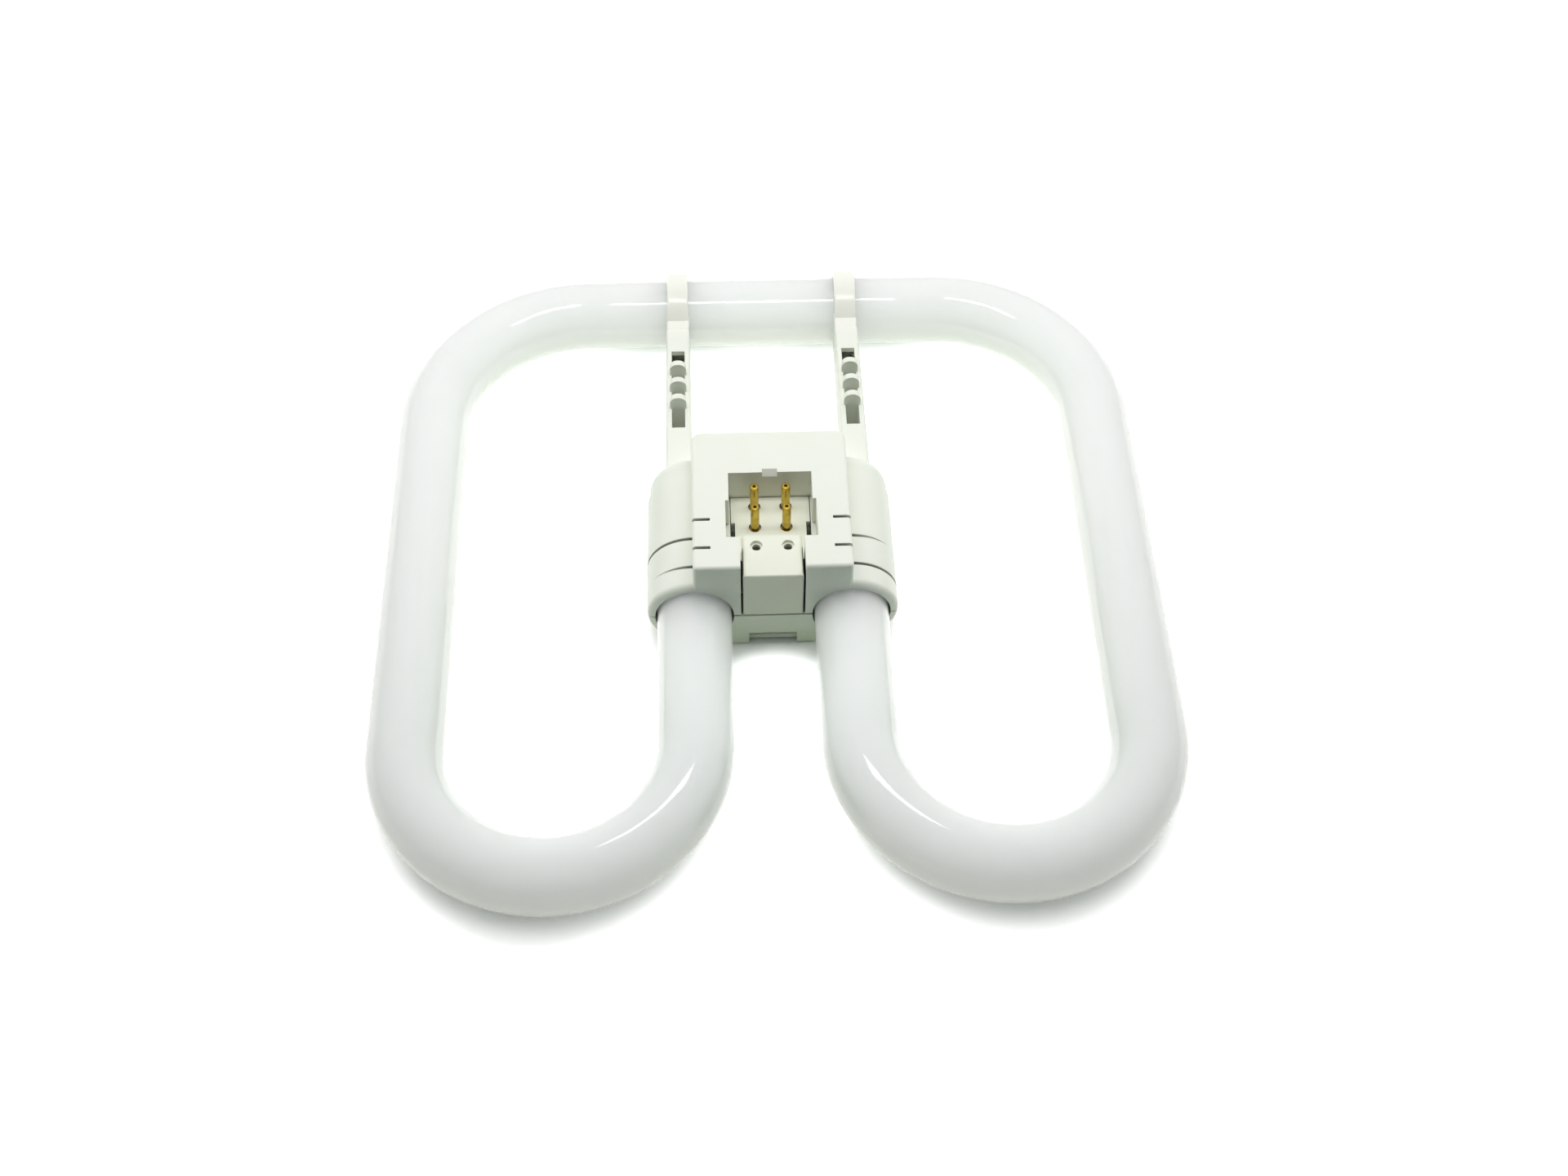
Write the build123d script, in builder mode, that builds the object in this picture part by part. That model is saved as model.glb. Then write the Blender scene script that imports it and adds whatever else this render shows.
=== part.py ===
from build123d import *
import os
from math import radians, sin, sqrt

# Square compact fluorescent lamp: one glass tube bent into a square with two hairpin legs,
# a moulded cap that holds the leg ends, and two arms that clip round the far bar of the tube.
# Millimetres. +X is to the right, +Y from the cap to the clipped bar, +Z the way the pins point.
# The origin lies on the resting plane, under the middle of the outline.

os.makedirs("parts", exist_ok=True)

# Driving dimensions: glass tube
lamp_width = 205.0
lamp_length = 207.0
tube_diameter = 19.5
corner_radius = 42.75
leg_spacing = 41.0
tube_axis_z = 12.75
tube_end_round = 6.0
pinch_width = 13.0
pinch_thickness = 4.0
pinch_length = 8.0
pinch_round = 1.0

# Driving dimensions: cap
cap_front_y = -18.7
cap_length = 46.0
cap_height = 33.0
block_width = 41.0
wall = 2.0
collar_clearance = 0.5
cover_wall = 2.05
cover_step = 0.5
cover_step_length = 8.5
cover_front_round = 1.8
cover_rear_round = 5.0
cover_end_wall = 4.0
block_corner_round = 2.6
block_edge_round = 1.0
base_edge_round = 0.8
base_ledge = 0.3
seam_groove_height = 0.25
seam_groove_depth = 0.3
bedding_length = 10.0
bedding_inset = 6.0

# Driving dimensions: pin well and the slots round it
well_width = 21.9
shoulder_length = 10.05
well_rear_margin = 14.6
well_depth = 10.2
seat_ledge = 0.3
latch_relief = 0.9
latch_relief_margin = 9.2
latch_slot_depth = 5.0
latch_slot_width = 1.25
back_notch_width = 4.0
back_notch_height = 1.8
back_notch_depth = 1.2
channel_wall = 1.9

# Driving dimensions: pin carrier and pins
carrier_clearance = 0.2
tongue_slit = 0.5
tongue_drop = 3.7
tongue_length = 13.1
tongue_round = 1.1
tongue_lip_round = 0.5
carrier_plate = 3.05
carrier_wing_length = 8.5
carrier_roof = 4.0
carrier_side = 1.7
pin_diameter = 2.3
pin_shoulder_diameter = 2.7
pin_neck_diameter = 2.0
pin_neck_rise = 0.2
pin_bore = 0.95
pin_tip_hole = 1.5
pin_pitch_x = 8.3
pin_pitch_y = 6.9
pin_group_margin = 6.85
pin_tip_drop = 1.6
pin_tip_round = 0.5
pin_tail = 1.5
pin_moat_diameter = 3.25
pin_moat_depth = 0.9
key_hole_spacing = 8.2
key_hole_inset = 9.95
key_hole_diameter = 2.2
key_hole_depth = 6.0
key_hole_mouth = 3.2
key_hole_mouth_depth = 0.9

# Driving dimensions: vent grooves and base notch
groove_width = 0.9
groove_reach = 4.6
groove_depth = 1.2
groove_fade_angle = 58.0
rear_groove_inset = 16.0
front_groove_inset = 6.8
base_notch_width = 12.7
base_notch_height = 4.9
base_notch_depth = 5.0
base_notch_bar = 1.4
base_notch_bar_lift = 0.75
base_notch_bar_inset = 1.4

# Driving dimensions: arms and clips
arm_spacing = 48.4
arm_root_width = 7.2
arm_tip_width = 6.4
arm_rise = 7.0
arm_height = 12.0
arm_roof = 1.6
arm_hollow_length = 7.0
arm_relief = 0.3
arm_slot_width = 3.7
arm_slot_depth = 10.5
arm_slot_lead = 9.8
arm_slot_length = 28.8
arm_web_width = 4.6
arm_web_thickness = 1.7
arm_web_pitch = 6.25
arm_web_lead = 8.5
arm_web_count = 3
arm_web_rise = 4.4
arm_web_round = 2.25
arm_edge_round = 1.0
clip_width = 6.0
clip_wall = 2.2
clip_clearance = 0.2
clip_back_angle = -38.0
clip_front_angle = 205.0
clip_lip_round = 0.7
clip_edge_round = 0.5

# Driving dimensions: lead wires
wire_diameter = 0.8
wire_spread = 5.0
wire_grip = 3.0
wire_bend = 2.0
wire_lead_in = 0.2
wire_layer = 1.4
wire_row_gap = 2.7
wire_back_gap = 4.0
wire_first_run = 5.6

# Derived: tube
tube_r = tube_diameter / 2
side_x = (lamp_width - tube_diameter) / 2
leg_x = leg_spacing / 2
bend_radius = (side_x - leg_x) / 2
clip_inner_r = tube_r + clip_clearance
clip_outer_r = clip_inner_r + clip_wall
bar_y = lamp_length / 2 - clip_outer_r
bend_y = tube_r + bend_radius - lamp_length / 2
bend_bottom_y = bend_y - bend_radius
corner_y = bar_y - corner_radius
corner_x = side_x - corner_radius
corner_mid = corner_radius * sin(radians(45))
arm_x = arm_spacing / 2
arm_top_z = tube_axis_z + arm_rise
arm_slot_far_y = bar_y - clip_outer_r - arm_slot_lead

# Derived: cap
cap_rear_y = cap_front_y + cap_length
cap_inner_y = cap_rear_y - wall
bore_r = tube_r + collar_clearance
cover_r = bore_r + cover_wall
block_x = block_width / 2
well_x = well_width / 2
well_front_y = cap_front_y + shoulder_length
well_back_y = cap_rear_y - well_rear_margin
latch_relief_end_y = well_back_y - latch_relief_margin
rear_groove_y = cap_front_y + rear_groove_inset
front_groove_y = cap_front_y + front_groove_inset
well_floor_z = cap_height - well_depth
seat_x = well_x - seat_ledge
shelf_z = well_floor_z - carrier_plate
channel_x = leg_x - bore_r - channel_wall
bay_front_y = well_back_y + wall
bay_x = block_x - wall
bay_top_z = cap_height - wall
shoulder_inner_x = well_x + latch_relief + wall
shoulder_floor_z = tube_axis_z + bore_r / 2
front_plane = Plane.XZ.offset(-cap_front_y)
base_front_plane = front_plane.offset(base_ledge)
seam_plane = Plane.XY.offset(tube_axis_z)

# Derived: carrier and pins
tongue_x = channel_x - tongue_slit
tongue_z = cap_height - tongue_drop
tongue_rear_y = cap_front_y + tongue_length
key_hole_y = cap_front_y + key_hole_inset
stem_x = channel_x - carrier_clearance
wing_x = seat_x - carrier_clearance
ear_x = seat_x - latch_slot_width
carrier_rear_y = well_back_y - carrier_clearance
carrier_shoulder_y = carrier_rear_y - carrier_wing_length
carrier_hollow_x = stem_x - carrier_side
pin_group_y = well_back_y - pin_group_margin
carrier_roof_z = well_floor_z - carrier_roof
pin_tip_z = cap_height - pin_tip_drop
pin_tail_z = carrier_roof_z - pin_tail
pin_shoulder_z = well_floor_z - pin_moat_depth
pin_neck_z = well_floor_z + pin_neck_rise
pin_r = pin_diameter / 2
pin_shoulder_r = pin_shoulder_diameter / 2
wire_r = wire_diameter / 2
rear_wire_y = cap_inner_y - wire_back_gap
front_wire_y = rear_wire_y - wire_row_gap
pinch_end_y = front_wire_y - wire_first_run
tube_end_y = pinch_end_y - pinch_length
rear_wire_z = pin_tail_z - wire_bend - wire_lead_in
front_wire_z = rear_wire_z - wire_layer


# Glass tube with its two pinch-sealed ends
with BuildPart() as discharge_tube:
    with BuildLine(seam_plane):
        Line((-leg_x, tube_end_y), (-leg_x, bend_y))
        ThreePointArc((-leg_x, bend_y), (-leg_x - bend_radius, bend_bottom_y), (-side_x, bend_y))
        Line((-side_x, bend_y), (-side_x, corner_y))
        ThreePointArc(
            (-side_x, corner_y),
            (-corner_x - corner_mid, corner_y + corner_mid),
            (-corner_x, bar_y),
        )
        Line((-corner_x, bar_y), (corner_x, bar_y))
        ThreePointArc(
            (corner_x, bar_y),
            (corner_x + corner_mid, corner_y + corner_mid),
            (side_x, corner_y),
        )
        Line((side_x, corner_y), (side_x, bend_y))
        ThreePointArc((side_x, bend_y), (leg_x + bend_radius, bend_bottom_y), (leg_x, bend_y))
        Line((leg_x, bend_y), (leg_x, tube_end_y))
    with BuildSketch(Plane(origin=(-leg_x, tube_end_y, tube_axis_z), z_dir=(0, -1, 0))):
        Circle(tube_r)
    sweep()
    tube_ends = discharge_tube.faces().filter_by(GeomType.PLANE)
    fillet(tube_ends.edges(), tube_end_round)

    # Each pinch starts as far inside the rounded end as it stands out of it
    with Locations((-leg_x, tube_end_y, tube_axis_z), (leg_x, tube_end_y, tube_axis_z)):
        Box(pinch_width, 2 * pinch_length, pinch_thickness)
    pinch_edges = discharge_tube.edges().filter_by(Axis.Y).filter_by_position(
        Axis.Y, tube_end_y, pinch_end_y
    )
    fillet(pinch_edges, pinch_round)
discharge_tube.part.label = "discharge_tube"
export_step(discharge_tube.part, "parts/discharge_tube.step")

# Bedding rings that seat the two tube ends in the cap
for side_name, side in (("left", -1), ("right", 1)):
    with BuildPart() as bedding:
        with BuildSketch(front_plane.offset(-bedding_inset)):
            with Locations((side * leg_x, tube_axis_z)):
                Circle(bore_r)
                Circle(tube_r, mode=Mode.SUBTRACT)
        extrude(amount=-bedding_length)
    bedding.part.label = f"{side_name}_tube_bedding"
    export_step(bedding.part, f"parts/{side_name}_tube_bedding.step")

# Round cover form over one leg, shared by both shells of the cap
with BuildPart() as cover_form:
    with BuildSketch(front_plane):
        Circle(cover_r)
    extrude(amount=-(cap_length - cover_step_length))
    with BuildSketch(front_plane.offset(-(cap_length - cover_step_length))):
        Circle(cover_r - cover_step)
    extrude(amount=-cover_step_length)
    rim_edges = cover_form.edges().filter_by(GeomType.CIRCLE).sort_by(Axis.Y)
    fillet(rim_edges[0], cover_front_round)
    fillet(cover_form.edges().filter_by(GeomType.CIRCLE).sort_by(Axis.Y)[-1], cover_rear_round)

# Hooked clip that snaps over the far bar of the tube
with BuildPart() as clip_form:
    with BuildSketch(Plane.YZ):
        with BuildLine():
            clip_sweep = clip_front_angle - clip_back_angle
            outer = CenterArc((bar_y, tube_axis_z), clip_outer_r, clip_back_angle, clip_sweep)
            inner = CenterArc((bar_y, tube_axis_z), clip_inner_r, clip_back_angle, clip_sweep)
            Line(outer @ 0, inner @ 0)
            Line(outer @ 1, inner @ 1)
        make_face()
        fillet(vertices(), clip_lip_round)
    extrude(amount=clip_width / 2, both=True)
    clip_rims = clip_form.edges().filter_by(GeomType.CIRCLE)
    fillet(clip_rims.filter_by(lambda rim: rim.radius > clip_inner_r + clip_wall / 2), clip_edge_round)

# One arm from the cap to the far bar: open slot with round-topped webs, hollow under its far roof
arm_root_y = cap_rear_y - cover_end_wall
with BuildPart() as arm_form:
    with BuildSketch(Plane.XY.offset(arm_top_z)):
        with BuildLine():
            Polyline(
                (-arm_root_width / 2, arm_root_y),
                (arm_root_width / 2, arm_root_y),
                (arm_tip_width / 2, bar_y),
                (-arm_tip_width / 2, bar_y),
                close=True,
            )
        make_face()
    extrude(amount=-arm_height)
    arm_top_edges = arm_form.faces().sort_by(Axis.Z)[-1].edges()
    fillet(arm_top_edges.sort_by(SortBy.LENGTH)[-2:], arm_edge_round)
    with Locations((0, arm_root_y, tube_axis_z)):
        Box(
            arm_root_width,
            cover_end_wall + arm_relief,
            arm_height,
            align=(Align.CENTER, Align.MIN, Align.MAX),
            mode=Mode.SUBTRACT,
        )
    with BuildSketch(Plane.XY.offset(arm_top_z)):
        with Locations((0, arm_slot_far_y)):
            Rectangle(arm_slot_width, arm_slot_length, align=(Align.CENTER, Align.MAX))
    extrude(amount=-arm_slot_depth, mode=Mode.SUBTRACT)
    with BuildSketch(Plane.XY.offset(arm_top_z - arm_roof)):
        with Locations((0, arm_slot_far_y)):
            Rectangle(arm_slot_width, arm_hollow_length, align=(Align.CENTER, Align.MIN))
    extrude(amount=arm_roof - arm_slot_depth, mode=Mode.SUBTRACT)
    for web in range(arm_web_count):
        web_y = arm_slot_far_y - arm_web_lead - web * arm_web_pitch
        with BuildSketch(Plane.XZ.offset(-web_y)):
            with Locations((0, arm_top_z + arm_web_rise)):
                Rectangle(
                    arm_web_width,
                    arm_slot_depth + arm_web_rise,
                    align=(Align.CENTER, Align.MAX),
                )
            fillet(vertices().group_by(Axis.Y)[-1], arm_web_round)
        extrude(amount=arm_web_thickness / 2, both=True)

# Vent grooves: one kind runs right round the cover, the other fades out along it
groove_floor_r = cover_r - groove_depth
groove_fade = (cover_r**2 - groove_floor_r**2) / (2 * cover_r * sin(radians(groove_fade_angle)))
groove_fade_r = sqrt(groove_floor_r**2 + groove_fade**2)

# Upper shell: block with the pin well, covers over the legs, arms and tube clips
with BuildPart() as upper_housing:
    with BuildSketch(seam_plane):
        with Locations((0, cap_front_y + cap_length / 2)):
            Rectangle(block_width, cap_length)
    extrude(amount=cap_height - tube_axis_z)
    block_corners = upper_housing.edges().filter_by(Axis.Z).group_by(Axis.Y)
    fillet(block_corners[-1], block_corner_round)
    fillet(block_corners[0], block_edge_round)
    fillet(upper_housing.faces().sort_by(Axis.Z)[-1].edges(), block_edge_round)
    with Locations((-leg_x, 0, tube_axis_z), (leg_x, 0, tube_axis_z)):
        add(cover_form.part)
    split(bisect_by=seam_plane, keep=Keep.TOP)

    # Arms to the far bar, and the clips on their ends
    with Locations((-arm_x, 0, 0), (arm_x, 0, 0)):
        add(arm_form.part)
    with BuildSketch(Plane.YZ):
        with Locations((bar_y, tube_axis_z)):
            Circle(clip_inner_r)
    extrude(amount=arm_spacing, both=True, mode=Mode.SUBTRACT)
    with Locations((-arm_x, 0, 0), (arm_x, 0, 0)):
        add(clip_form.part)

    # Bores for the legs, the wiring bay and the hollow shoulders
    with BuildSketch(front_plane):
        with Locations((-leg_x, tube_axis_z), (leg_x, tube_axis_z)):
            Circle(bore_r)
    extrude(amount=cover_end_wall - cap_length, mode=Mode.SUBTRACT)
    with BuildSketch(seam_plane):
        with Locations((0, bay_front_y)):
            Rectangle(2 * bay_x, cap_inner_y - bay_front_y, align=(Align.CENTER, Align.MIN))
    extrude(amount=bay_top_z - tube_axis_z, mode=Mode.SUBTRACT)
    with BuildSketch(Plane.XY.offset(shoulder_floor_z)):
        for side in (-1, 1):
            with Locations((side * (shoulder_inner_x + bay_x) / 2, cap_front_y + wall)):
                Rectangle(
                    bay_x - shoulder_inner_x,
                    cap_length - 2 * wall,
                    align=(Align.CENTER, Align.MIN),
                )
    extrude(amount=bay_top_z - shoulder_floor_z, mode=Mode.SUBTRACT)

    # Pin well, the seat of the carrier below it and the channel for its tongue
    with BuildSketch(Plane.XY.offset(well_floor_z)):
        with Locations((0, well_front_y)):
            Rectangle(well_width, well_back_y - well_front_y, align=(Align.CENTER, Align.MIN))
            Rectangle(
                well_width + 2 * latch_relief,
                latch_relief_end_y - well_front_y,
                align=(Align.CENTER, Align.MIN),
            )
    extrude(amount=well_depth, mode=Mode.SUBTRACT)
    with BuildSketch(Plane.XY.offset(shelf_z)):
        with Locations((0, well_front_y)):
            Rectangle(2 * seat_x, well_back_y - well_front_y, align=(Align.CENTER, Align.MIN))
    extrude(amount=carrier_plate, mode=Mode.SUBTRACT)
    with BuildSketch(Plane.XY.offset(well_floor_z)):
        with Locations((0, well_front_y)):
            Rectangle(
                2 * seat_x, carrier_shoulder_y - well_front_y, align=(Align.CENTER, Align.MIN)
            )
    extrude(amount=-latch_slot_depth, mode=Mode.SUBTRACT)
    with BuildSketch(seam_plane):
        with Locations((0, cap_front_y)):
            Rectangle(2 * channel_x, bay_front_y - cap_front_y, align=(Align.CENTER, Align.MIN))
    extrude(amount=shelf_z - tube_axis_z, mode=Mode.SUBTRACT)
    with BuildSketch(seam_plane):
        with Locations((0, cap_front_y)):
            Rectangle(2 * channel_x, well_front_y - cap_front_y, align=(Align.CENTER, Align.MIN))
    extrude(amount=cap_height - tube_axis_z, mode=Mode.SUBTRACT)
    with BuildSketch(Plane.YZ):
        with BuildLine():
            Polyline(
                (well_back_y, cap_height),
                (well_back_y + back_notch_depth, cap_height),
                (well_back_y, cap_height - back_notch_height),
                close=True,
            )
        make_face()
    extrude(amount=back_notch_width / 2, both=True, mode=Mode.SUBTRACT)

    # Vent grooves: the full ones lie at the left rear and the right front
    for side, groove_y, floor_x, floor_r in (
        (-1, rear_groove_y, leg_x, groove_floor_r),
        (1, front_groove_y, leg_x, groove_floor_r),
        (-1, front_groove_y, leg_x + groove_fade, groove_fade_r),
        (1, rear_groove_y, leg_x + groove_fade, groove_fade_r),
    ):
        with BuildSketch(Plane.XZ.offset(-groove_y)):
            with Locations((side * (block_x - groove_reach), tube_axis_z)):
                Rectangle(
                    groove_reach + leg_x - block_x + cover_r,
                    cap_height - tube_axis_z,
                    align=(Align.MIN if side > 0 else Align.MAX, Align.MIN),
                )
            with Locations((side * floor_x, tube_axis_z)):
                Circle(floor_r, mode=Mode.SUBTRACT)
        extrude(amount=groove_width / 2, both=True, mode=Mode.SUBTRACT)
upper_housing.part.label = "upper_housing"
export_step(upper_housing.part, "parts/upper_housing.step")

# Lower shell: flat base between the lower halves of the two covers
notch_inner_y = cap_front_y + base_notch_depth + wall
seam_x = leg_x + cover_r - cover_step - seam_groove_depth
with BuildPart() as lower_housing:
    with BuildSketch(Plane.XY):
        with Locations((0, cap_rear_y)):
            Rectangle(block_width, cap_length + base_ledge, align=(Align.CENTER, Align.MAX))
    extrude(amount=tube_axis_z)
    base_corners = lower_housing.edges().filter_by(Axis.Z).group_by(Axis.Y)[-1]
    fillet(base_corners, block_corner_round)
    fillet(lower_housing.faces().sort_by(Axis.Z)[0].edges(), base_edge_round)
    with Locations((-leg_x, 0, tube_axis_z), (leg_x, 0, tube_axis_z)):
        add(cover_form.part)
    split(bisect_by=seam_plane, keep=Keep.BOTTOM)

    # Groove along the seam
    with BuildSketch(seam_plane):
        with Locations((0, cap_front_y + cap_length / 2)):
            Rectangle(lamp_width, 2 * cap_length)
        with BuildSketch(seam_plane, mode=Mode.SUBTRACT):
            with Locations((0, cap_front_y + cap_length / 2)):
                Rectangle(2 * seam_x, cap_length - 2 * seam_groove_depth)
            fillet(vertices().group_by(Axis.Y)[0], cover_front_round)
            fillet(vertices().group_by(Axis.Y)[-1], cover_rear_round)
    extrude(amount=-seam_groove_height, mode=Mode.SUBTRACT)

    # Bores for the legs, the space under the carrier, the wiring bay and the gap between the two
    with BuildSketch(base_front_plane):
        with Locations((-leg_x, tube_axis_z), (leg_x, tube_axis_z)):
            Circle(bore_r)
    extrude(amount=cover_end_wall - cap_length - base_ledge, mode=Mode.SUBTRACT)
    with BuildSketch(seam_plane):
        with Locations((0, notch_inner_y)):
            Rectangle(
                2 * channel_x, well_back_y - notch_inner_y, align=(Align.CENTER, Align.MIN)
            )
        with Locations((0, bay_front_y)):
            Rectangle(2 * bay_x, cap_inner_y - bay_front_y, align=(Align.CENTER, Align.MIN))
            Rectangle(2 * carrier_hollow_x, 2 * wall, align=(Align.CENTER, Align.MAX))
    extrude(amount=wall - tube_axis_z, mode=Mode.SUBTRACT)

    # Base notch at the front, with a bar across it
    with BuildSketch(base_front_plane):
        Rectangle(base_notch_width, base_notch_height, align=(Align.CENTER, Align.MIN))
    extrude(amount=-base_notch_depth, mode=Mode.SUBTRACT)
    with BuildSketch(base_front_plane.offset(-base_notch_bar_inset)):
        with Locations((0, base_notch_bar_lift)):
            Rectangle(base_notch_width, base_notch_bar, align=(Align.CENTER, Align.MIN))
    extrude(amount=base_notch_bar_inset - base_notch_depth)
lower_housing.part.label = "lower_housing"
export_step(lower_housing.part, "parts/lower_housing.step")

# Pin carrier: stem between the legs, floor of the well and the keyed tongue at the front
with BuildPart() as pin_carrier:
    with BuildSketch(seam_plane):
        with Locations((0, cap_front_y)):
            Rectangle(2 * tongue_x, tongue_rear_y - cap_front_y, align=(Align.CENTER, Align.MIN))
    extrude(amount=tongue_z - tube_axis_z)
    tongue_edges = pin_carrier.faces().sort_by(Axis.Z)[-1].edges().filter_by(Axis.Y)
    fillet(tongue_edges, tongue_round)
    fillet(pin_carrier.faces().sort_by(Axis.Z)[-1].edges().sort_by(Axis.Y)[0], tongue_lip_round)
    with BuildSketch(seam_plane):
        with Locations((0, well_front_y)):
            Rectangle(
                2 * stem_x, carrier_rear_y - well_front_y, align=(Align.CENTER, Align.MIN)
            )
    extrude(amount=well_floor_z - tube_axis_z)
    with BuildSketch(Plane.XY.offset(shelf_z)):
        with Locations((0, carrier_shoulder_y)):
            Rectangle(
                2 * wing_x, carrier_rear_y - carrier_shoulder_y, align=(Align.CENTER, Align.MIN)
            )
    extrude(amount=carrier_plate)
    with BuildSketch(Plane.XY.offset(shelf_z)):
        with Locations((0, carrier_shoulder_y)):
            Rectangle(
                2 * ear_x,
                carrier_shoulder_y - well_front_y - carrier_clearance,
                align=(Align.CENTER, Align.MAX),
            )
    extrude(amount=carrier_plate)
    with BuildSketch(seam_plane):
        with Locations((0, tongue_rear_y)):
            Rectangle(
                2 * carrier_hollow_x,
                carrier_rear_y - tongue_rear_y,
                align=(Align.CENTER, Align.MIN),
            )
    extrude(amount=carrier_roof_z - tube_axis_z, mode=Mode.SUBTRACT)
    with Locations((0, pin_group_y, well_floor_z)):
        with GridLocations(pin_pitch_x, pin_pitch_y, 2, 2):
            CounterBoreHole(pin_shoulder_r, pin_moat_diameter / 2, pin_moat_depth, well_depth)
    with Locations((0, key_hole_y, tongue_z)):
        with GridLocations(key_hole_spacing, 0, 2, 1):
            CounterBoreHole(
                key_hole_diameter / 2, key_hole_mouth / 2, key_hole_mouth_depth, key_hole_depth
            )
pin_carrier.part.label = "pin_carrier"
export_step(pin_carrier.part, "parts/pin_carrier.step")

# Contact pins with a shoulder in the carrier and a neck above it, bored at both ends, and the lead
# wires that run into them from the tube ends
for side_name, side in (("left", -1), ("right", 1)):
    for row_name, row in (("front", -1), ("rear", 1)):
        pin_x = side * pin_pitch_x / 2
        pin_y = pin_group_y + row * pin_pitch_y / 2
        with BuildPart() as contact_pin:
            with BuildSketch(Plane.XY.offset(pin_tail_z)):
                with Locations((pin_x, pin_y)):
                    Circle(pin_shoulder_r)
            extrude(amount=pin_shoulder_z - pin_tail_z)
            with BuildSketch(Plane.XY.offset(pin_shoulder_z)):
                with Locations((pin_x, pin_y)):
                    Circle(pin_neck_diameter / 2)
            extrude(amount=pin_neck_z - pin_shoulder_z)
            with BuildSketch(Plane.XY.offset(pin_neck_z)):
                with Locations((pin_x, pin_y)):
                    Circle(pin_r)
            extrude(amount=pin_tip_z - pin_neck_z)
            fillet(contact_pin.edges().group_by(Axis.Z)[-1], pin_tip_round)
            with BuildSketch(Plane.XY.offset(pin_tip_z)):
                with Locations((pin_x, pin_y)):
                    Circle(pin_bore / 2)
            extrude(amount=-pin_tip_hole, mode=Mode.SUBTRACT)
            with BuildSketch(Plane.XY.offset(pin_tail_z)):
                with Locations((pin_x, pin_y)):
                    Circle(pin_bore / 2)
            extrude(amount=wire_grip + wire_lead_in, mode=Mode.SUBTRACT)
        contact_pin.part.label = f"contact_pin_{row_name}_{side_name}"
        export_step(contact_pin.part, f"parts/contact_pin_{row_name}_{side_name}.step")

        start_x = side * (leg_x + row * wire_spread / 2)
        turn_y = rear_wire_y if row > 0 else front_wire_y
        run_z = rear_wire_z if row > 0 else front_wire_z
        with BuildPart() as lead_wire:
            with BuildLine():
                FilletPolyline(
                    (start_x, pinch_end_y, tube_axis_z),
                    (start_x, turn_y, tube_axis_z),
                    (pin_x, turn_y, run_z),
                    (pin_x, pin_y, run_z),
                    (pin_x, pin_y, pin_tail_z + wire_grip),
                    radius=wire_bend,
                )
            with BuildSketch(Plane(origin=(start_x, pinch_end_y, tube_axis_z), z_dir=(0, 1, 0))):
                Circle(wire_r)
            sweep()
        lead_wire.part.label = f"lead_wire_{row_name}_{side_name}"
        export_step(lead_wire.part, f"parts/lead_wire_{row_name}_{side_name}.step")
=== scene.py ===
# %% [markdown]
# # A square compact fluorescent lamp
#
# The lamp is one white glass tube, bent into a square with two hairpin legs, and a moulded cap that
# holds the leg ends and clips round the far bar. The solid model of every rigid piece is already
# packed, so this lesson starts from it and adds what the eye sees: the smooth glass, the satin
# plastic, the brass of the pins and the light that shows them.

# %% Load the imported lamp
from math import cos, pi, radians, sin

import bpy
from mathutils import Matrix, Vector


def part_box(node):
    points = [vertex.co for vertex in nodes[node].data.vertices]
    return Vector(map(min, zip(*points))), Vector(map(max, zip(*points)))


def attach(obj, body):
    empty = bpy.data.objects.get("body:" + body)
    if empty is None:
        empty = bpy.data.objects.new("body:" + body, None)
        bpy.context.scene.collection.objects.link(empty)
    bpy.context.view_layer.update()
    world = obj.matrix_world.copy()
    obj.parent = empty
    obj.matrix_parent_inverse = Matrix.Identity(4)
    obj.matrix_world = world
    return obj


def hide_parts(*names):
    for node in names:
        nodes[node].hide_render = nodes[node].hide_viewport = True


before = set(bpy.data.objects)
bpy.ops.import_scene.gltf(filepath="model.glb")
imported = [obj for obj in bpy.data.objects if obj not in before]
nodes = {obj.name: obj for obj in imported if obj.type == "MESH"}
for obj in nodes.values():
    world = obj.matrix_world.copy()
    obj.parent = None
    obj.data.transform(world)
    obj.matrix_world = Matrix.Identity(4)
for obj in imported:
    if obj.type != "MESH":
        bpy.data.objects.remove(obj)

MM = 0.001
scene = bpy.context.scene
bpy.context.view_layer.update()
print("nodes:", len(nodes))

# %% [markdown]
# ## Helpers
#
# Colours are easiest to pick as sRGB hex values, as a paint program shows them, but the renderer mixes
# light in linear values. One function converts them. Node trees are built in the script too: one small
# function adds a node, fills its settings and links what flows into it, and four more make the nodes
# that come up again and again. The last helper puts an object in the scene.

# %% Helpers for colours, nodes and objects
def linear_colour(hex_code):
    """sRGB hex colour as linear red, green, blue and alpha, by the curve of the sRGB standard."""
    channels = [int(hex_code[start:start + 2], 16) / 255 for start in (1, 3, 5)]
    linear = [c / 12.92 if c <= 0.04045 else ((c + 0.055) / 1.055) ** 2.4 for c in channels]
    return (*linear, 1.0)


def add_node(tree, kind, settings=None, inputs=None):
    """Adds a node. An input takes a value, a socket, or a node whose first output it is linked to."""
    node = tree.nodes.new(kind)
    for name, value in (settings or {}).items():
        setattr(node, name, value)
    for name, value in (inputs or {}).items():
        if isinstance(value, bpy.types.Node):
            value = value.outputs[0]
        if isinstance(value, bpy.types.NodeSocket):
            tree.links.new(value, node.inputs[name])
        else:
            node.inputs[name].default_value = value
    return node


def calculate(tree, operation, *values):
    """A sum, a product or another simple operation on numbers."""
    return add_node(tree, "ShaderNodeMath", {"operation": operation}, dict(enumerate(values)))


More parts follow.
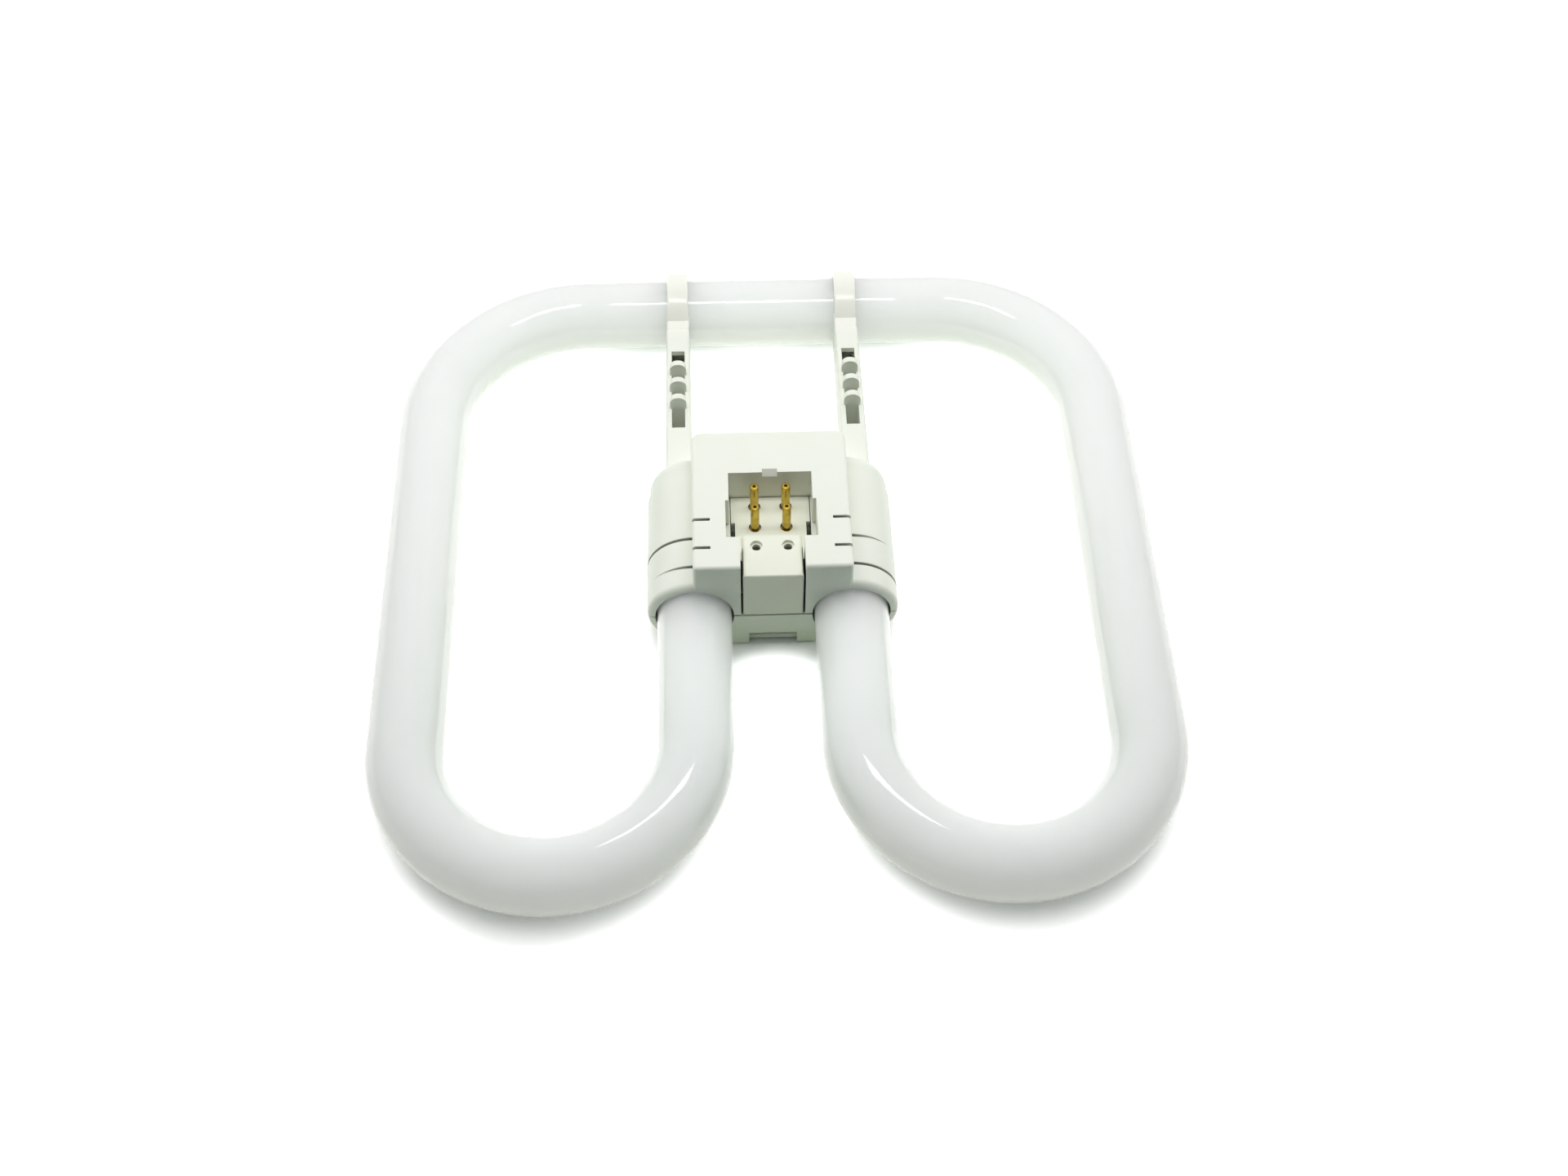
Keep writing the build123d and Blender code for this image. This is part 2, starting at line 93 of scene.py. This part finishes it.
def map_range(tree, value, from_range=(0.0, 1.0), to_range=(0.0, 1.0)):
    """Carries a value from one range over to another and holds it between the ends."""
    return add_node(tree, "ShaderNodeMapRange", {"clamp": True}, {
        "Value": value,
        "From Min": from_range[0], "From Max": from_range[1],
        "To Min": to_range[0], "To Max": to_range[1],
    })


def noise(tree, place, size_mm, detail):
    """A smooth random share from 0 to 1, with spots of about the given size."""
    texture = add_node(tree, "ShaderNodeTexNoise", inputs={
        "Vector": place, "Scale": 1 / (size_mm * MM), "Detail": detail,
    })
    return texture.outputs["Fac"]


def mix_colours(tree, share, first, second):
    """The first colour where the share is 0, the second where it is 1."""
    mix = add_node(tree, "ShaderNodeMix", {"data_type": "RGBA"}, {"Factor": share, "A": first, "B": second})
    return mix.outputs["Result"]


def add_object(name, data):
    """Puts a new object in the scene."""
    added = bpy.data.objects.new(name, data)
    scene.collection.objects.link(added)
    return added


print("white in linear values:", linear_colour("#FFFFFF"))

# %% [markdown]
# ## The camera
#
# The photograph looks down on the lamp from the side of the hairpins, a little from the left. The
# camera's place, its angles and its lens were found by laying the lamp's known outline over the
# picture, so the render shows each edge where the photograph has it.

# %% Camera at the photograph's viewing angle
CAMERA_PLACE_MM = (-11.83, -318.75, 427.65)
CAMERA_YAW = radians(2.777)
CAMERA_PITCH = radians(53.338)
CAMERA_ROLL = radians(0.836)
CAMERA_LENS_MM = 44.99
CAMERA_NEAR_MM = 10.0
SENSOR_WIDTH_MM = 36.0

forward = Vector((
    sin(CAMERA_YAW) * cos(CAMERA_PITCH), cos(CAMERA_YAW) * cos(CAMERA_PITCH), -sin(CAMERA_PITCH)
))
level_right = Vector((cos(CAMERA_YAW), -sin(CAMERA_YAW), 0.0))
level_up = level_right.cross(forward)
right = level_right * cos(CAMERA_ROLL) + level_up * sin(CAMERA_ROLL)
up = level_up * cos(CAMERA_ROLL) - level_right * sin(CAMERA_ROLL)

camera_data = bpy.data.cameras.new("camera")
camera_data.sensor_fit = "HORIZONTAL"
camera_data.sensor_width = SENSOR_WIDTH_MM
camera_data.lens = CAMERA_LENS_MM
camera_data.clip_start = CAMERA_NEAR_MM * MM
camera = add_object("camera", camera_data)
camera_turn = Matrix((right, up, -forward)).transposed().to_4x4()
camera.matrix_world = Matrix.Translation(Vector(CAMERA_PLACE_MM) * MM) @ camera_turn
scene.camera = camera
print("camera distance in mm:", round(Vector(CAMERA_PLACE_MM).length))

# %% [markdown]
# ## Glass with a phosphor coat
#
# The tube is clear soda-lime glass with a white phosphor powder inside. From outside that is a matt
# white body under a hard, glossy skin. Light goes into the powder and comes out again further along,
# so the shaded side of the tube still glows a little: subsurface scattering does that. The clear glass
# is the coat of the shader, with the index of refraction of window glass. The powder is washed in as a
# slurry, so its thickness drifts slowly along the tube, and a soft noise a few centimetres wide shows it.

# %% Material: phosphor-coated soda-lime glass
def new_material(name):
    """A new material, its empty node tree and the object's own coordinates in that tree."""
    material = bpy.data.materials.new(name)
    material.use_nodes = True
    tree = material.node_tree
    tree.nodes.clear()
    return material, tree, add_node(tree, "ShaderNodeTexCoord").outputs["Object"]


def finish_material(material, shader):
    """Sends a shader to the material's output."""
    add_node(material.node_tree, "ShaderNodeOutputMaterial", inputs={"Surface": shader})
    print("material:", material.name, "with", len(material.node_tree.nodes), "nodes")


COAT_DRIFT_MM = 35.0
POWDER_GLOW_MM = 40.0
POWDER_ROUGHNESS = 0.5
GLASS_ROUGHNESS = 0.03
GLASS_IOR = 1.52

phosphor_glass, tree, place = new_material("phosphor_coated_glass")
drift = noise(tree, place, COAT_DRIFT_MM, detail=2.0)
finish_material(phosphor_glass, add_node(tree, "ShaderNodeBsdfPrincipled", inputs={
    "Base Color": mix_colours(tree, drift, linear_colour("#EBF8F4"), linear_colour("#F0FBF8")),
    "Roughness": POWDER_ROUGHNESS,
    "IOR": GLASS_IOR,
    "Subsurface Weight": 1.0,
    "Subsurface Radius": (1.0, 1.0, 1.0),
    "Subsurface Scale": POWDER_GLOW_MM * MM,
    "Specular IOR Level": 0.0,
    "Coat Weight": 1.0,
    "Coat Roughness": GLASS_ROUGHNESS,
    "Coat IOR": GLASS_IOR,
}))

# %% [markdown]
# ## Satin moulded plastic
#
# The cap is moulded in a heat-proof white polyester. The mould was spark-eroded, which leaves a satin
# surface: a broad soft gloss and a very fine grain. The grain is a tenth of a millimetre on the real
# part, too fine for the picture, so it is drawn about four times as coarse. Where the melt flowed
# together the white drifts by a few percent. The clips at the far end are creamier and glossier than
# the block, so the colour and the roughness change at the end of the arms. The deep slots and creases
# get painted shade, a warm dark brown wherever Ambient Occlusion finds a place shut in. The inner
# carrier is the same plastic in a slightly yellower batch.

# %% Material: satin moulded polyester, for the cap and for the carrier
FLOW_MM = 14.0
GRAIN_MM = 0.4
GRAIN_HEIGHT_MM = 0.05
GRAIN_STRENGTH = 0.08
PLASTIC_IOR = 1.57
PLASTIC_GLOW_SHARE = 0.25
PLASTIC_GLOW_MM = 0.8
PLASTIC_GLOW_BY_COLOUR = (1.0, 1.0, 0.8)
BLOCK_ROUGHNESS = 0.42
CLIP_ROUGHNESS = 0.2
CLIP_START_MM = 74.0
CLIP_FULL_MM = 80.0
PAINTED_SHADE_REACH_MM = 2.5
PAINTED_SHADE_FULL_SHARE = 0.1
PAINTED_SHADE_NONE_SHARE = 0.42
PAINTED_SHADE_BROWN = linear_colour("#40302A")


def moulded_plastic(name, pale_hex, deep_hex, clip_hex):
    """Satin plastic that drifts between two whites and turns to the clip's cream past the arms."""
    material, tree, place = new_material(name)
    flow = noise(tree, place, FLOW_MM, detail=3.0)
    body_colour = mix_colours(tree, flow, linear_colour(pale_hex), linear_colour(deep_hex))
    along = add_node(tree, "ShaderNodeSeparateXYZ", inputs={0: place}).outputs["Y"]
    at_clip = map_range(tree, along, (CLIP_START_MM * MM, CLIP_FULL_MM * MM))
    unshaded_colour = mix_colours(tree, at_clip, body_colour, linear_colour(clip_hex))
    # Painted shade: where Ambient Occlusion finds a place shut in, the colour turns a warm dark brown
    openness = add_node(tree, "ShaderNodeAmbientOcclusion", inputs={"Distance": PAINTED_SHADE_REACH_MM * MM})
    unshaded_share = map_range(tree, openness.outputs["AO"], (PAINTED_SHADE_FULL_SHARE, PAINTED_SHADE_NONE_SHARE))
    grain = add_node(tree, "ShaderNodeBump", inputs={
        "Height": noise(tree, place, GRAIN_MM, detail=2.0),
        "Strength": GRAIN_STRENGTH,
        "Distance": GRAIN_HEIGHT_MM * MM,
    })
    finish_material(material, add_node(tree, "ShaderNodeBsdfPrincipled", inputs={
        "Base Color": mix_colours(tree, unshaded_share, PAINTED_SHADE_BROWN, unshaded_colour),
        "Roughness": map_range(tree, at_clip, to_range=(BLOCK_ROUGHNESS, CLIP_ROUGHNESS)),
        "IOR": PLASTIC_IOR,
        "Subsurface Weight": PLASTIC_GLOW_SHARE,
        "Subsurface Radius": PLASTIC_GLOW_BY_COLOUR,
        "Subsurface Scale": PLASTIC_GLOW_MM * MM,
        "Normal": grain,
    }))
    return material


cap_plastic = moulded_plastic("satin_moulded_polyester", "#EFF2E8", "#E9EDE2", "#F3F4EA")
carrier_plastic = moulded_plastic("satin_moulded_polyester_cream", "#F1F4E6", "#ECEFDF", "#ECEFDF")

# %% [markdown]
# ## Drawn brass, nickel wire and silicone
#
# The pins are drawn from brass, which leaves fine lines along them and a bright yellow metal with a
# little tarnish. The lead wires inside the cap are nickel-plated, and the rings that seat the tube ends
# are matt silicone. Metal keeps the default index of refraction: its colour is its reflection.

# %% Material: drawn brass
DRAW_LINE_MM = 0.12
DRAW_STRETCH = (1.0, 1.0, 0.05)
TARNISH_MM = 1.6
BRASS_ROUGHNESS = (0.16, 0.34)

pin_brass, tree, place = new_material("drawn_brass")
stretched = add_node(tree, "ShaderNodeMapping", inputs={"Vector": place, "Scale": DRAW_STRETCH})
lines = noise(tree, stretched, DRAW_LINE_MM, detail=2.0)
tarnish = noise(tree, place, TARNISH_MM, detail=4.0)
finish_material(pin_brass, add_node(tree, "ShaderNodeBsdfPrincipled", inputs={
    "Base Color": mix_colours(tree, tarnish, linear_colour("#D8BC55"), linear_colour("#8F7420")),
    "Metallic": 1.0,
    "Roughness": map_range(tree, lines, to_range=BRASS_ROUGHNESS),
}))

# %% Material: nickel-plated wire and matt silicone
WIRE_ROUGHNESS = (0.25, 0.4)
BLOOM_MM = 3.0
SILICONE_ROUGHNESS = 0.75
SILICONE_IOR = 1.41

lead_wire, tree, place = new_material("nickel_plated_wire")
wire_lines = noise(tree, place, DRAW_LINE_MM, detail=2.0)
finish_material(lead_wire, add_node(tree, "ShaderNodeBsdfPrincipled", inputs={
    "Base Color": linear_colour("#D6D3CC"),
    "Metallic": 1.0,
    "Roughness": map_range(tree, wire_lines, to_range=WIRE_ROUGHNESS),
}))

bedding_silicone, tree, place = new_material("matt_silicone")
bloom = noise(tree, place, BLOOM_MM, detail=3.0)
finish_material(bedding_silicone, add_node(tree, "ShaderNodeBsdfPrincipled", inputs={
    "Base Color": mix_colours(tree, bloom, linear_colour("#E4E3DC"), linear_colour("#D6D5CD")),
    "Roughness": SILICONE_ROUGHNESS,
    "IOR": SILICONE_IOR,
}))

# %% [markdown]
# ## The tube as a rule
#
# A glass bender makes the lamp from one straight tube: bend the two hairpins, then the two far corners.
# That is a rule, so Geometry Nodes make the tube from eight points: the two leg ends and six corners.
# Each corner is rounded with its own bend radius, rings are set along the route and a circle is swept
# through them. The rings crowd together at the two ends, where the radius shrinks to a rounded end, and
# a flat pinch is set on each end, where the real glass is pressed shut round the lead wires. The places
# of the bar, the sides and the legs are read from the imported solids, so the glass lies exactly where
# the solid is.

# %% Sizes of the tube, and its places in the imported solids
TUBE_DIAMETER_MM = 19.5
FAR_CORNER_RADIUS_MM = 42.75
END_ROUND_MM = 6.0
PINCH_WIDTH_MM = 13.0
PINCH_THICKNESS_MM = 4.0
PINCH_LENGTH_MM = 8.0
PINCH_ROUND_MM = 1.0
LEG_TO_BAR_RADII = 1.5

tube_low, tube_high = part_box("discharge_tube")
bed_low, bed_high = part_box("right_tube_bedding")
tube_radius = TUBE_DIAMETER_MM * MM / 2
axis_z = (tube_low.z + tube_high.z) / 2
side_x = tube_high.x - tube_radius
leg_x = (bed_low.x + bed_high.x) / 2
bar_y = tube_high.y - tube_radius
near_y = tube_low.y + tube_radius
print("tube axis height, leg and side in mm:", [round(v / MM, 2) for v in (axis_z, leg_x, side_x)])

# A leg ends where its pinch starts, and the pinch's tip is its last point short of the far bar
leg_limit_y = bar_y - LEG_TO_BAR_RADII * tube_radius
leg_end_y = max(
    v.co.y for v in nodes["discharge_tube"].data.vertices
    if abs(v.co.x) < leg_x + tube_radius and v.co.y < leg_limit_y
) - PINCH_LENGTH_MM * MM
print("leg ends at y in mm:", round(leg_end_y / MM, 2))

# %% Geometry Nodes tree of the tube
RING_COUNT = 640
RING_CROWDING = 0.9
PROFILE_POINTS = 72
BEND_POINTS = 64
ROUND_POINTS = 6

TUBE_SIZES = {
    "Tube Radius": tube_radius,
    "Far Corner Radius": FAR_CORNER_RADIUS_MM * MM,
    "Hairpin Radius": (side_x - leg_x) / 2,
    "End Round": END_ROUND_MM * MM,
    "Pinch Width": PINCH_WIDTH_MM * MM,
    "Pinch Thickness": PINCH_THICKNESS_MM * MM,
    "Pinch Length": PINCH_LENGTH_MM * MM,
    "Pinch Round": PINCH_ROUND_MM * MM,
}


def new_geometry_tree(name, size_names=()):
    """A Geometry Nodes tree that takes a geometry and named sizes, and gives a geometry."""
    tree = bpy.data.node_groups.new(name, "GeometryNodeTree")
    tree.interface.new_socket("Geometry", in_out="INPUT", socket_type="NodeSocketGeometry")
    for size_name in size_names:
        tree.interface.new_socket(size_name, in_out="INPUT", socket_type="NodeSocketFloat")
    tree.interface.new_socket("Geometry", in_out="OUTPUT", socket_type="NodeSocketGeometry")
    return tree


bent_tube = new_geometry_tree("bent_tube", TUBE_SIZES)
given = add_node(bent_tube, "NodeGroupInput").outputs

# The route: corners behind the lamp's centre are the far ones, those in front of it make the hairpins
corner = add_node(bent_tube, "GeometryNodeInputPosition")
corner_y = add_node(bent_tube, "ShaderNodeSeparateXYZ", inputs={0: corner}).outputs["Y"]
is_far = add_node(bent_tube, "FunctionNodeCompare", {"operation": "GREATER_THAN"}, {0: corner_y, 1: 0.0})
bend_radius = add_node(bent_tube, "GeometryNodeSwitch", {"input_type": "FLOAT"}, {
    "Switch": is_far, "False": given["Hairpin Radius"], "True": given["Far Corner Radius"],
})
corners = add_node(bent_tube, "GeometryNodeMeshToCurve", inputs={"Mesh": given["Geometry"]})
route = add_node(bent_tube, "GeometryNodeFilletCurve", {"mode": "POLY"}, {
    "Curve": corners, "Count": BEND_POINTS, "Radius": bend_radius,
})
route_length = add_node(bent_tube, "GeometryNodeCurveLength", inputs={"Curve": route})

# Rings along the route, crowded at the two ends by a sine
guide = add_node(bent_tube, "GeometryNodeResampleCurve", {"mode": "COUNT"}, {
    "Curve": add_node(bent_tube, "GeometryNodeCurvePrimitiveLine"), "Count": RING_COUNT,
})
even_share = add_node(bent_tube, "GeometryNodeSplineParameter").outputs["Factor"]
wave = calculate(bent_tube, "SINE", calculate(bent_tube, "MULTIPLY", even_share, 2 * pi))
crowded_share = calculate(bent_tube, "MULTIPLY_ADD", wave, -RING_CROWDING / (2 * pi), even_share)
ring_place = add_node(bent_tube, "GeometryNodeSampleCurve", {"mode": "LENGTH"}, {
    "Curves": route, "Length": calculate(bent_tube, "MULTIPLY", crowded_share, route_length),
})
rings = add_node(bent_tube, "GeometryNodeSetPosition", inputs={
    "Geometry": guide, "Position": ring_place.outputs["Position"],
})
upright = add_node(bent_tube, "GeometryNodeSetCurveNormal", {"mode": "Z_UP"}, {"Curve": rings})

# Radius of each ring: full, or on a quarter circle within the end round
from_start = add_node(bent_tube, "GeometryNodeSplineParameter").outputs["Length"]
from_finish = calculate(bent_tube, "SUBTRACT", route_length, from_start)
from_end = calculate(bent_tube, "MINIMUM", from_start, from_finish)
short_of_full = calculate(bent_tube, "SUBTRACT", given["End Round"], from_end)
into_round = calculate(bent_tube, "MAXIMUM", short_of_full, 0.0)
round_squared = calculate(bent_tube, "POWER", given["End Round"], 2.0)
into_squared = calculate(bent_tube, "POWER", into_round, 2.0)
rise_squared = calculate(bent_tube, "SUBTRACT", round_squared, into_squared)
rise = calculate(bent_tube, "SQRT", calculate(bent_tube, "MAXIMUM", rise_squared, 0.0))
end_disc = calculate(bent_tube, "SUBTRACT", given["Tube Radius"], given["End Round"])
circle = add_node(bent_tube, "GeometryNodeCurvePrimitiveCircle", inputs={
    "Resolution": PROFILE_POINTS, "Radius": 1.0,
})
glass = add_node(bent_tube, "GeometryNodeCurveToMesh", inputs={
    "Curve": upright,
    "Profile Curve": circle,
    "Scale": calculate(bent_tube, "ADD", end_disc, rise),
    "Fill Caps": True,
})

# The flat pinch, once on each end of the route
pinch_profile = add_node(bent_tube, "GeometryNodeCurvePrimitiveQuadrilateral", inputs={
    "Width": given["Pinch Width"], "Height": given["Pinch Thickness"],
})
round_profile = add_node(bent_tube, "GeometryNodeFilletCurve", {"mode": "POLY"}, {
    "Curve": pinch_profile, "Count": ROUND_POINTS, "Radius": given["Pinch Round"],
})
pinch_start = calculate(bent_tube, "MULTIPLY", given["Pinch Length"], -1.0)
pinch_line = add_node(bent_tube, "GeometryNodeCurvePrimitiveLine", inputs={
    "Start": add_node(bent_tube, "ShaderNodeCombineXYZ", inputs={"Y": pinch_start}),
    "End": add_node(bent_tube, "ShaderNodeCombineXYZ", inputs={"Y": given["Pinch Length"]}),
})
pinch = add_node(bent_tube, "GeometryNodeCurveToMesh", inputs={
    "Curve": add_node(bent_tube, "GeometryNodeSetCurveNormal", {"mode": "Z_UP"}, {"Curve": pinch_line}),
    "Profile Curve": round_profile,
    "Fill Caps": True,
})
pinches = add_node(bent_tube, "GeometryNodeInstanceOnPoints", inputs={
    "Points": corners,
    "Selection": add_node(bent_tube, "GeometryNodeCurveEndpointSelection"),
    "Instance": pinch,
})
whole = add_node(bent_tube, "GeometryNodeJoinGeometry")
for shape in (glass, pinches):
    bent_tube.links.new(shape.outputs[0], whole.inputs[0])
solid = add_node(bent_tube, "GeometryNodeRealizeInstances", inputs={"Geometry": whole})
smooth = add_node(bent_tube, "GeometryNodeSetShadeSmooth", inputs={"Geometry": solid})
add_node(bent_tube, "NodeGroupOutput", inputs={"Geometry": smooth})
print("tree of the tube:", len(bent_tube.nodes), "nodes")

# %% The glass tube as a plain mesh
left_half = [
    (-x, y, axis_z) for x, y in ((leg_x, leg_end_y), (leg_x, near_y), (side_x, near_y), (side_x, bar_y))
]
right_half = [(-x, y, z) for x, y, z in reversed(left_half)]
route_corners = left_half + right_half
route_mesh = bpy.data.meshes.new("tube_route")
route_mesh.from_pydata(route_corners, [(i, i + 1) for i in range(len(route_corners) - 1)], [])
glass_tube = add_object("glass_tube", route_mesh)

bend = glass_tube.modifiers.new("bend", "NODES")
bend.node_group = bent_tube
for socket in bent_tube.interface.items_tree:
    if socket.name in TUBE_SIZES:
        bend[socket.identifier] = TUBE_SIZES[socket.name]
evaluated = glass_tube.evaluated_get(bpy.context.evaluated_depsgraph_get())
glass_mesh = bpy.data.meshes.new_from_object(evaluated)
glass_mesh.name = "glass_tube"
glass_tube.modifiers.clear()
glass_tube.data = glass_mesh

# A swept mesh comes with one empty material slot, so the slots are cleared before the glass goes in
glass_mesh.materials.clear()
glass_mesh.materials.append(phosphor_glass)
print("glass tube faces:", len(glass_mesh.polygons))

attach(glass_tube, "root")
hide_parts("discharge_tube")

# %% [markdown]
# ## Smooth shading for the moulded and turned pieces
#
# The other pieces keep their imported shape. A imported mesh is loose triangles, so a small tree welds
# them, shades them smooth and leaves every edge sharper than a set angle crisp. Weighted normals then
# keep the large flat faces flat beside their rounded edges. The mesh itself stays as it is packed:
# both steps are modifiers.

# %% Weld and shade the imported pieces
WELD_MM = 0.001
SHARP_ANGLE = radians(28)

clean_shade = new_geometry_tree("clean_shade")
packed = add_node(clean_shade, "NodeGroupInput").outputs["Geometry"]
plain = add_node(clean_shade, "GeometryNodeRemoveAttribute", inputs={
    "Geometry": packed, "Name": "custom_normal",
})
welded = add_node(clean_shade, "GeometryNodeMergeByDistance", inputs={
    "Geometry": plain, "Distance": WELD_MM * MM,
})
all_smooth = add_node(clean_shade, "GeometryNodeSetShadeSmooth", inputs={"Geometry": welded})
is_sharp = add_node(clean_shade, "FunctionNodeCompare", {"operation": "GREATER_THAN"}, {
    0: add_node(clean_shade, "GeometryNodeInputMeshEdgeAngle"), 1: SHARP_ANGLE,
})
crisp = add_node(clean_shade, "GeometryNodeSetShadeSmooth", {"domain": "EDGE"}, {
    "Geometry": all_smooth, "Selection": is_sharp, "Shade Smooth": False,
})
add_node(clean_shade, "NodeGroupOutput", inputs={"Geometry": crisp})


def dress(node_name, material):
    """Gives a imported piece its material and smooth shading."""
    piece = nodes[node_name]
    piece.data.materials.clear()
    piece.data.materials.append(material)
    shade = piece.modifiers.new("clean_shade", "NODES")
    shade.node_group = clean_shade
    weigh = piece.modifiers.new("weigh_normals", "WEIGHTED_NORMAL")
    weigh.keep_sharp = True


dress("upper_housing", cap_plastic)
dress("lower_housing", cap_plastic)
dress("pin_carrier", carrier_plastic)
for hand in ("left", "right"):
    for row in ("front", "rear"):
        dress(f"contact_pin_{row}_{hand}", pin_brass)
        dress(f"lead_wire_{row}_{hand}", lead_wire)
    dress(f"{hand}_tube_bedding", bedding_silicone)
print("dressed pieces:", sum(1 for piece in nodes.values() if piece.modifiers))

# %% [markdown]
# ## Floor and background
#
# The photograph has a pure white ground with only a dark soft shadow where the tube nearly touches it.
# The camera, and what mirrors and glass send on to it, therefore see white paper that takes the light
# and shadow of the lamps, plus a glow that lifts it to white. That glow carries a painted shadow: it
# fades where Ambient Occlusion, aimed at a point above the lamp's middle, finds the floor shut in by the
# tube, which paints the dark contact shadow on the outer side of the loops. Between the legs the painted
# shadow is lifted, so the floor stays nearly white right up to the cap.
# All other light meets an olive floor, so the sides of the cap that face the camera stay in greenish
# shade, as they do in the photograph. The room round it is white to the camera and dim to all else.

# %% White floor with a painted contact shadow, in a white room
FLOOR_SIZE_M = 6.0
FLOOR_GLOW = 1.0
PAPER_WHITE = linear_colour("#FFFFFF")
FLOOR_OLIVE = linear_colour("#A6AE8F")
PAINTED_SHADOW_REACH_MM = 30.0
PAINTED_SHADOW_AIM_MM = (0.0, 0.0, 120.0)
SHADE_FULL_SHARE = 0.33
SHADE_NONE_SHARE = 0.55
PAINTED_LIFT_PLACE_MM = (0.0, -50.0, 0.0)
PAINTED_LIFT_FULL_MM = 20.0
PAINTED_LIFT_END_MM = 32.0
PAINTED_LIFT = 0.35
ROOM_LIGHT = 0.048


def shown_to_camera(tree):
    """1 for rays of the camera and what mirrors and glass send on to it, 0 for all other light."""
    rays = add_node(tree, "ShaderNodeLightPath").outputs
    camera_or_glossy = calculate(tree, "MAXIMUM", rays["Is Camera Ray"], rays["Is Glossy Ray"])
    return calculate(tree, "MAXIMUM", camera_or_glossy, rays["Is Transmission Ray"])


floor_material, tree, place = new_material("white_paper_floor")
# Painted shadow: the glow fades where Ambient Occlusion, aimed at a point above the lamp's middle, finds the
# floor shut in
to_shadow_aim = add_node(tree, "ShaderNodeVectorMath", {"operation": "SUBTRACT"}, {
    0: Vector(PAINTED_SHADOW_AIM_MM) * MM, 1: place,
})
openness = add_node(tree, "ShaderNodeAmbientOcclusion", inputs={
    "Distance": PAINTED_SHADOW_REACH_MM * MM,
    "Normal": add_node(tree, "ShaderNodeVectorMath", {"operation": "NORMALIZE"}, {0: to_shadow_aim}),
})
# Painted light: near a point in front of the cap the painted shadow is lifted, so the floor between the legs
# stays nearly white
from_painted_lift = add_node(tree, "ShaderNodeVectorMath", {"operation": "DISTANCE"}, {
    0: place, 1: Vector(PAINTED_LIFT_PLACE_MM) * MM,
}).outputs["Value"]
lift = map_range(tree, from_painted_lift, (PAINTED_LIFT_FULL_MM * MM, PAINTED_LIFT_END_MM * MM), (PAINTED_LIFT, 0.0))
lifted = calculate(tree, "ADD", openness.outputs["AO"], lift)
glow = map_range(tree, lifted, (SHADE_FULL_SHARE, SHADE_NONE_SHARE), (0.0, FLOOR_GLOW))
shown_paper = add_node(tree, "ShaderNodeAddShader", inputs={
    0: add_node(tree, "ShaderNodeBsdfDiffuse", inputs={"Color": PAPER_WHITE}),
    1: add_node(tree, "ShaderNodeEmission", inputs={"Strength": glow}),
})
finish_material(floor_material, add_node(tree, "ShaderNodeMixShader", inputs={
    0: shown_to_camera(tree),
    1: add_node(tree, "ShaderNodeBsdfDiffuse", inputs={"Color": FLOOR_OLIVE}),
    2: shown_paper,
}))

half = FLOOR_SIZE_M / 2
floor_mesh = bpy.data.meshes.new("floor")
floor_mesh.from_pydata(
    [(-half, -half, 0.0), (half, -half, 0.0), (half, half, 0.0), (-half, half, 0.0)], [], [(0, 1, 2, 3)]
)
floor_mesh.materials.append(floor_material)
floor = add_object("floor", floor_mesh)

world = bpy.data.worlds.new("white_room")
scene.world = world
world.use_nodes = True
tree = world.node_tree
tree.nodes.clear()
room = add_node(tree, "ShaderNodeBackground", inputs={
    "Color": PAPER_WHITE, "Strength": map_range(tree, shown_to_camera(tree), to_range=(ROOM_LIGHT, 1.0)),
})
add_node(tree, "ShaderNodeOutputWorld", inputs={"Surface": room})
print("floor and world ready")

# %% [markdown]
# ## Light
#
# A large soft box hangs over the lamp, a little behind its middle, and white walls at the back and the
# sides round its light off. The thin bright lines on the glass are the image of a small bar lamp that
# hangs lower, above the arms. A real tube is a hollow shell that passes light on inside, and the white
# paper under it throws light back, so its shaded sides stay bright. A card in front and a pale sheet on
# the floor inside the loop stand in for that. Light linking keeps them off the cap, as a flag would in
# a studio, and neither is seen by the camera. Only the bar lamp may show as a reflection. The Standard
# view transform shows the colours as they were picked.

# %% Soft box, walls, bar lamp and the fill for the glass
def area_light(name, place_mm, aim_mm, size_mm, radiance):
    """A rectangular lamp that faces its aim. Radiance 1 is a white surface in full light."""
    light = bpy.data.lights.new(name, "AREA")
    light.shape = "RECTANGLE"
    light.size, light.size_y = (side * MM for side in size_mm)
    light.energy = radiance * pi * light.size * light.size_y
    lamp = add_object(name, light)
    aim = Vector(aim_mm) - Vector(place_mm)
    turn = aim.to_track_quat("-Z", "Y").to_matrix().to_4x4()
    lamp.matrix_world = Matrix.Translation(Vector(place_mm) * MM) @ turn
    print("light:", name, round(light.energy, 3), "W")
    return lamp


area_light("bar_lamp", place_mm=(2, 45, 285), aim_mm=(2, 45, 0), size_mm=(120, 36), radiance=7.0)
soft_lamps = [
    area_light("soft_box", place_mm=(0, 50, 420), aim_mm=(0, 50, 0), size_mm=(600, 160), radiance=4.15),
    area_light("back_wall", place_mm=(0, 520, 200), aim_mm=(0, 90, 12), size_mm=(900, 400), radiance=0.3),
    area_light("left_wall", place_mm=(-450, 300, 220), aim_mm=(0, 150, 0), size_mm=(700, 420), radiance=1.4),
    area_light("right_wall", place_mm=(450, 300, 220), aim_mm=(0, 150, 0), size_mm=(700, 420), radiance=1.4),
]
glass_lamps = [
    area_light("front_card", place_mm=(0, -900, 120), aim_mm=(0, 0, 12), size_mm=(1200, 400), radiance=1.9),
    area_light(
        "paper_bounce", place_mm=(0, 18, 0.5), aim_mm=(0, 18, 100), size_mm=(170, 150), radiance=0.42
    ),
]
glass_only = bpy.data.collections.new("glass_only")
glass_only.objects.link(glass_tube)
for lamp in glass_lamps:
    lamp.light_linking.receiver_collection = glass_only
    lamp.light_linking.blocker_collection = glass_only
    lamp.visible_camera = False
for lamp in soft_lamps + glass_lamps:
    lamp.visible_glossy = False

scene.view_settings.view_transform = "Standard"
